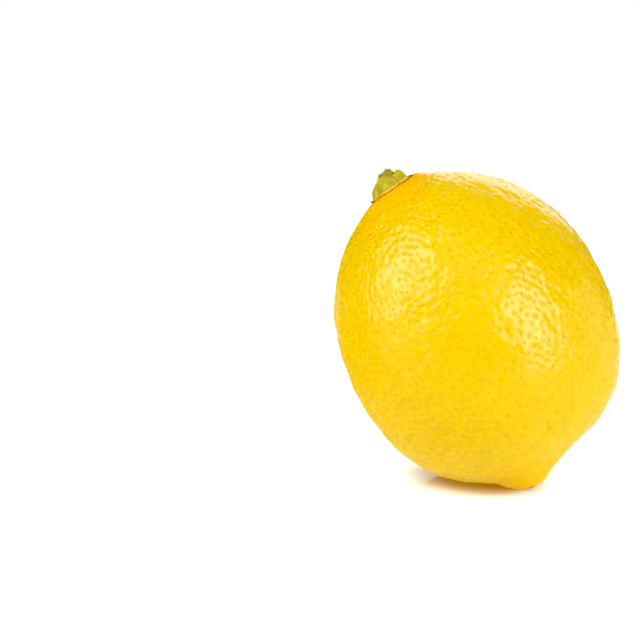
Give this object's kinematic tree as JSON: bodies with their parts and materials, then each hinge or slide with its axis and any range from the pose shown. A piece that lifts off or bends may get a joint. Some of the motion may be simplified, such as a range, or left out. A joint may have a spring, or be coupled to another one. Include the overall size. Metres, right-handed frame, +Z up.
{
  "type": "lemon",
  "caption": "Whole picked lemon with its green calyx and cut stem stub, standing tipped on its nippled blossom end.",
  "frame": {"origin": "bottom centre of the lemon's box, on the surface it rests on", "axes": "+Z up; the stem end points up, towards -X and a little towards +Y; the nipple points down, towards +X and -Y"},
  "size_m": [0.063, 0.0614, 0.0694],
  "materials": {
    "peel": "waxy, pitted, satin",
    "calyx_green": "matte, fleshy",
    "cut_stem": "matte, dry"
  },
  "bodies": {
    "root": {"fruit": "peel", "calyx": "calyx_green", "stem_stub": "cut_stem"}
  },
  "joints": []
}
